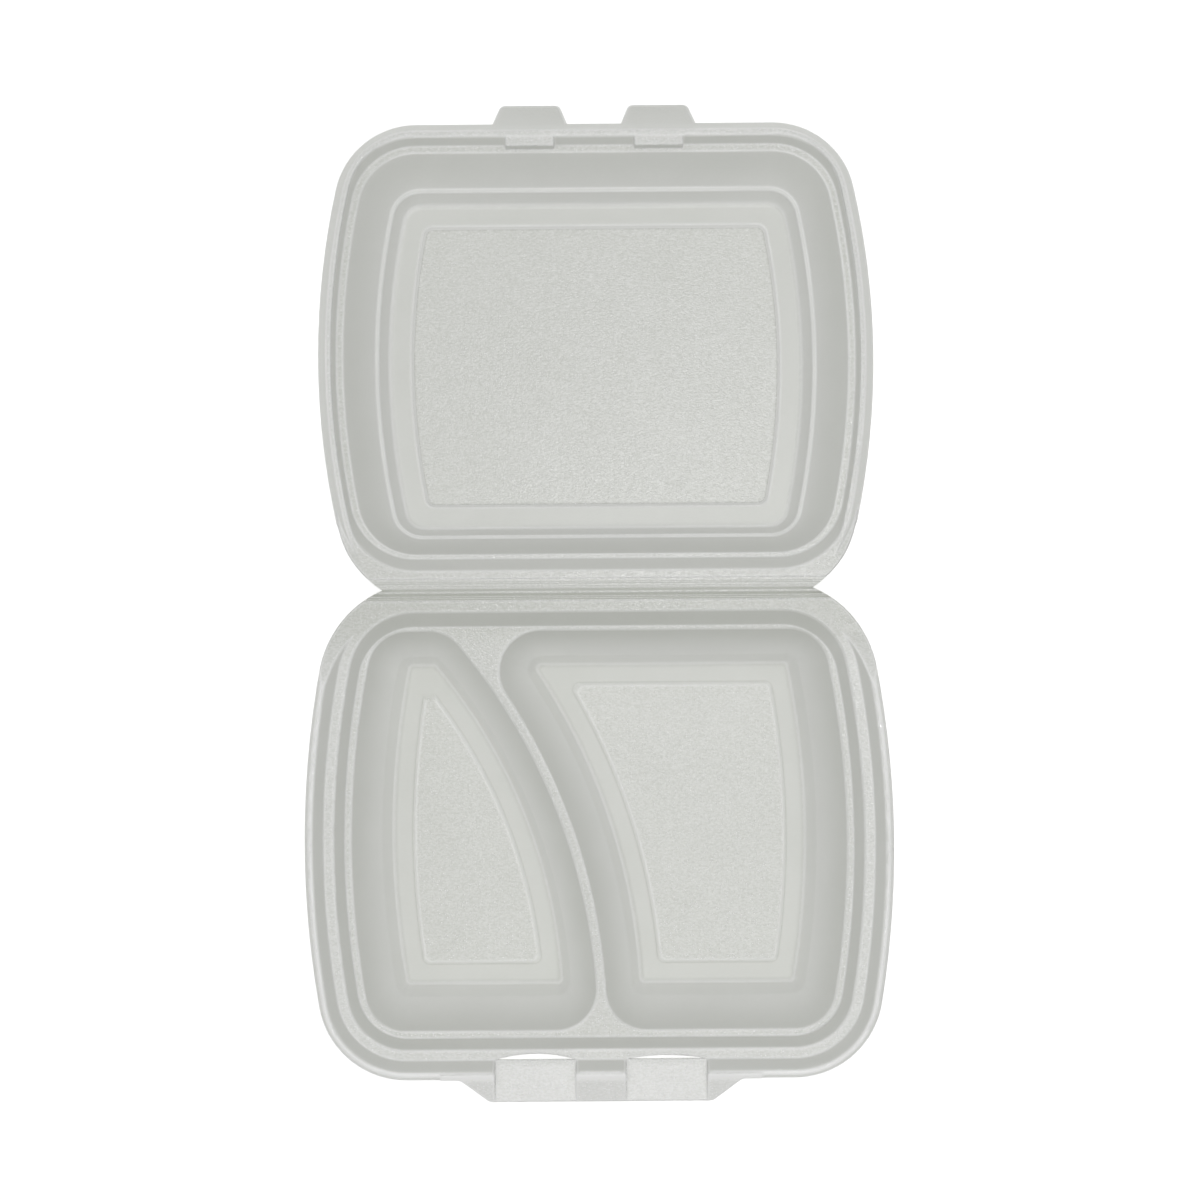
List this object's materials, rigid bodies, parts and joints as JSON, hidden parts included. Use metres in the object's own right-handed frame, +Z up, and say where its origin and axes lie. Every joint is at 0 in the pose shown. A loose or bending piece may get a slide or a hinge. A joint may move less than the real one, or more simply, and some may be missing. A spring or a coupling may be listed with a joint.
{
  "type": "foam clamshell container",
  "caption": "Open foam food clamshell: compartment tray with a curved divider, hinged lid, locking tabs, slits and a front tongue.",
  "frame": {"origin": "middle of the open container's outline, on the surface it stands on", "axes": "+X along the hinge, +Y from the tray towards the lid, +Z up"},
  "size_m": [0.24, 0.412, 0.0465],
  "materials": {
    "foam_tray": "thermoformed expanded polystyrene sheet, fine closed-cell grain",
    "foam_lid": "thermoformed expanded polystyrene sheet, fine closed-cell grain"
  },
  "bodies": {
    "base_tray": {"base_tray": "foam_tray"},
    "lid": {"lid": "foam_lid"}
  },
  "joints": [
    {"name": "lid_hinge", "type": "hinge", "parent": "base_tray", "child": "lid", "pos_m": [0, 0.00318, 0.04115], "axis": [1, 0, 0], "range_deg": [0, 184.45]}
  ]
}
